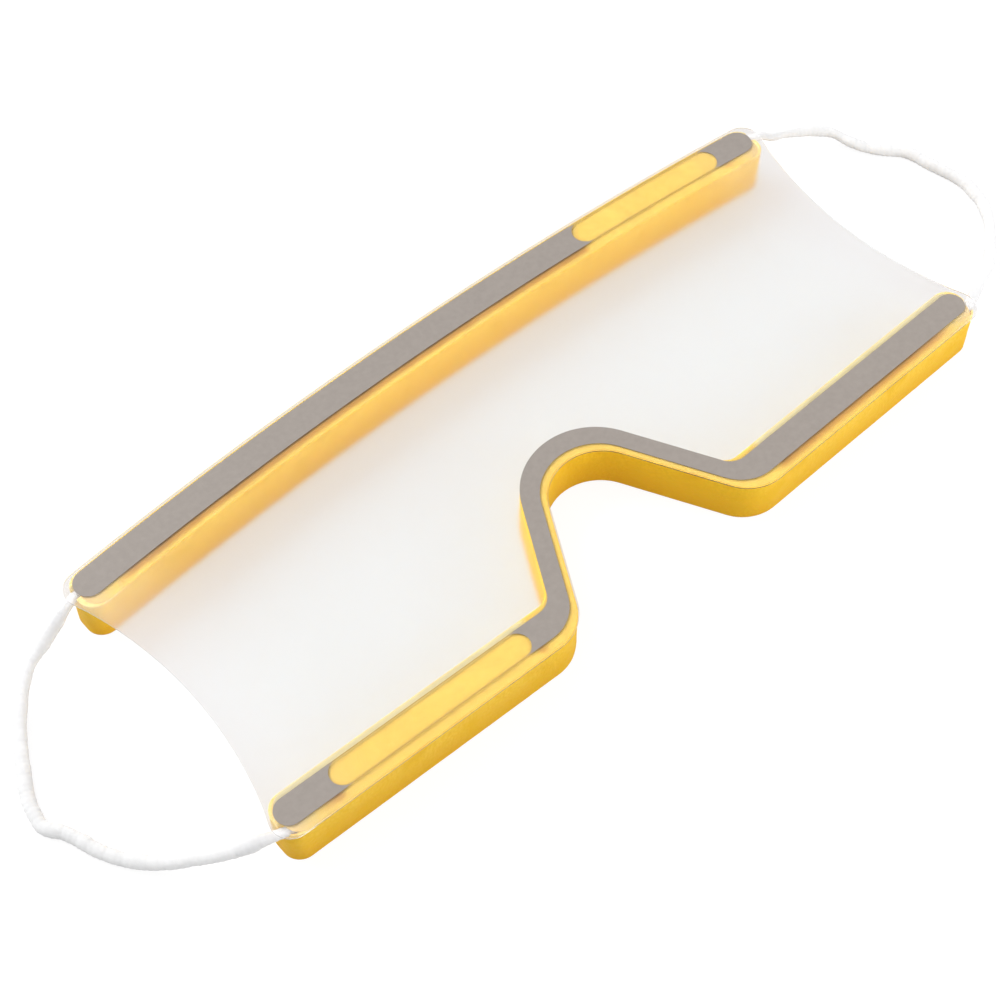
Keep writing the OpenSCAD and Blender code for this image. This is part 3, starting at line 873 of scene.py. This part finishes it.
class GLASSES_OT_make_foam_strips(bpy.types.Operator):
    """Make the brow strip and the cheek strip of foam"""

    bl_idname = "glasses.make_foam_strips"
    bl_label = "Make Foam Strips"
    bl_options = {"REGISTER", "UNDO"}

    def execute(self, context):
        settings = context.scene.glasses_foam
        held = [elastic_rings(side, context.scene.glasses_elastic)[0] for side in (-1, 1)]
        finish = foam_finish(settings)
        for name, node, sign in (("brow_foam_strip", "brow_foam", 1),
                                 ("cheek_foam_strip", "cheek_foam", -1)):
            rings = [[r for r in one if sign*r[0][1] > 0] for one in held]
            strip = make_foam(name, node, rings, settings)
            put_material(strip, finish)
            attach(strip, "shield")
            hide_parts(node)
        return {"FINISHED"}


class GLASSES_OT_finish_layers(bpy.types.Operator):
    """Give the film, the tape and the printed bands their finishes"""

    bl_idname = "glasses.finish_layers"
    bl_label = "Finish Film, Tape and Print"
    bl_options = {"REGISTER", "UNDO"}

    def execute(self, context):
        settings = context.scene.glasses_layers
        put_material(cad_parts["lens_film"], film_finish(settings))
        tape, ink = tape_finish(settings), ink_finish(settings)
        for strip in ("brow", "cheek"):
            put_material(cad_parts[f"{strip}_tape"], tape)
            put_material(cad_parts[f"{strip}_print"], ink)
        return {"FINISHED"}


class GLASSES_OT_set_stage(bpy.types.Operator):
    """Set the white floor, the soft lamps and the light from all round"""

    bl_idname = "glasses.set_stage"
    bl_label = "Set Stage"
    bl_options = {"REGISTER", "UNDO"}

    def execute(self, context):
        studio = context.scene.glasses_studio
        mesh = bpy.data.meshes.new("floor")
        mesh.from_pydata([(-4, -4, 0), (4, -4, 0), (4, 4, 0), (-4, 4, 0)], [], [(0, 1, 2, 3)])
        floor = bpy.data.objects.new("floor", mesh)
        context.scene.collection.objects.link(floor)
        floor.location.z = -0.00005
        put_material(floor, floor_finish(studio))
        for name, place, size, setting in LAMPS:
            self.add_lamp(context, name, place, size, getattr(studio, setting))
        self.light_world(context, studio)
        context.scene.view_settings.view_transform = "Standard"
        return {"FINISHED"}

    def add_lamp(self, context, name, place, size, energy):
        """A soft lamp that points at the glasses"""
        lamp = bpy.data.objects.new(name, bpy.data.lights.new(name, "AREA"))
        lamp.data.size = size
        lamp.data.energy = energy
        lamp.location = place
        lamp.rotation_euler = (-Vector(place)).to_track_quat("-Z", "Y").to_euler()
        context.scene.collection.objects.link(lamp)

    def light_world(self, context, studio):
        """White all round, at a lower strength for the light that it gives"""
        world = bpy.data.worlds.new("white_room")
        world.use_nodes = True
        tree = world.node_tree
        tree.nodes.clear()
        strength = spread(tree, seen_rays(tree), 0.0, 1.0, studio.ambient, 1.0)
        light = add_node(tree, "ShaderNodeBackground", {"Color": (1, 1, 1), "Strength": strength})
        show(tree, light, "ShaderNodeOutputWorld")
        context.scene.world = world


class GLASSES_PT_panel(bpy.types.Panel):
    """Settings and steps of the disposable safety glasses"""

    bl_idname = "GLASSES_PT_panel"
    bl_label = "Disposable Safety Glasses"
    bl_space_type = "VIEW_3D"
    bl_region_type = "UI"
    bl_category = "Glasses"

    def draw(self, context):
        for title, settings, step in (
            ("Camera", "glasses_studio", "glasses.place_camera"),
            ("Ear elastics", "glasses_elastic", "glasses.make_elastics"),
            ("Foam strips", "glasses_foam", "glasses.make_foam_strips"),
            ("Film, tape and print", "glasses_layers", "glasses.finish_layers"),
            ("Stage", None, "glasses.set_stage"),
        ):
            box = self.layout.box()
            box.label(text=title)
            if settings:
                group = getattr(context.scene, settings)
                for name in group.__annotations__:
                    box.prop(group, name)
            box.operator(step)


GROUPS = {"glasses_studio": StudioSettings, "glasses_elastic": ElasticSettings,
          "glasses_foam": FoamSettings, "glasses_layers": LayerSettings}
CLASSES = (GLASSES_OT_place_camera, GLASSES_OT_make_elastics, GLASSES_OT_make_foam_strips,
           GLASSES_OT_finish_layers, GLASSES_OT_set_stage, GLASSES_PT_panel)


def register():
    for name, group in GROUPS.items():
        bpy.utils.register_class(group)
        setattr(bpy.types.Scene, name, PointerProperty(type=group))
    for one in CLASSES:
        bpy.utils.register_class(one)


def unregister():
    for one in reversed(CLASSES):
        bpy.utils.unregister_class(one)
    for name, group in reversed(GROUPS.items()):
        delattr(bpy.types.Scene, name)
        bpy.utils.unregister_class(group)


def main():
    register()
    bpy.ops.glasses.place_camera()
    bpy.ops.glasses.make_elastics()
    bpy.ops.glasses.make_foam_strips()
    bpy.ops.glasses.finish_layers()
    bpy.ops.glasses.set_stage()


if __name__ == "__main__":
    main()
